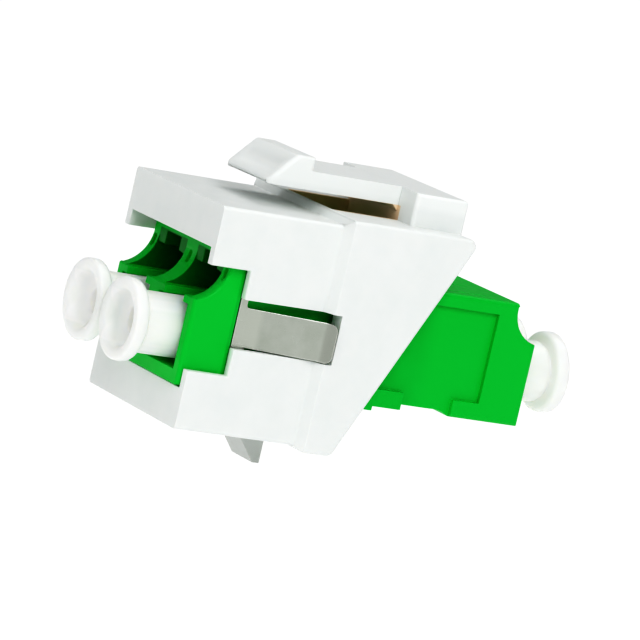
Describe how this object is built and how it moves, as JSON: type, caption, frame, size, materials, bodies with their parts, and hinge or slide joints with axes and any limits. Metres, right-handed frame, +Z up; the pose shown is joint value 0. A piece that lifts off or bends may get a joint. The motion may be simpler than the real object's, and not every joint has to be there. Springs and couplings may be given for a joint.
{
  "type": "fibre optic keystone jack",
  "caption": "Keystone housing with a latch lever that snaps into a panel opening, holding a duplex fibre adapter by a steel clip, with pull-off dust caps at both ends.",
  "frame": {"origin": "middle of the housing's front face, which lies in the panel's front plane", "axes": "+Z up towards the latch lever, front faces -Y, +Y runs to the rear, +X to the right seen from the front"},
  "size_m": [0.0168, 0.0367, 0.0231],
  "materials": {
    "white_plastic": "fine matt moulded white",
    "green_plastic": "satin moulded green",
    "spring_steel": "rolled stainless spring steel",
    "ceramic": "polished white zirconia",
    "cap_plastic": "soft warm white plastic"
  },
  "bodies": {
    "jack": {"keystone_housing": "white_plastic", "adapter_front_shell": "green_plastic", "adapter_rear_shell": "green_plastic", "spring_clip": "spring_steel", "ceramic_sleeve_left": "ceramic", "ceramic_sleeve_right": "ceramic"},
    "latch": {"latch_lever": "white_plastic"},
    "cap_front_left": {"dust_cap_front_left": "cap_plastic"},
    "cap_front_right": {"dust_cap_front_right": "cap_plastic"},
    "cap_rear_left": {"dust_cap_rear_left": "cap_plastic"},
    "cap_rear_right": {"dust_cap_rear_right": "cap_plastic"}
  },
  "joints": [
    {"name": "latch_press", "type": "hinge", "parent": "jack", "child": "latch", "pos_m": [0, 0.016, 0.00937], "axis": [1, 0, 0], "range_deg": [0, 8], "stiffness_Nm_per_rad": 0.05},
    {"name": "cap_pull_front_left", "type": "slide", "parent": "jack", "child": "cap_front_left", "axis": [0, -1, 0], "range_m": [0, 0.012]},
    {"name": "cap_pull_rear_left", "type": "slide", "parent": "jack", "child": "cap_rear_left", "axis": [0, 0.998, 0.0628], "range_m": [0, 0.012]},
    {"name": "cap_pull_front_right", "type": "slide", "parent": "jack", "child": "cap_front_right", "axis": [0, -1, 0], "range_m": [0, 0.012]},
    {"name": "cap_pull_rear_right", "type": "slide", "parent": "jack", "child": "cap_rear_right", "axis": [0, 0.998, 0.0628], "range_m": [0, 0.012]}
  ]
}
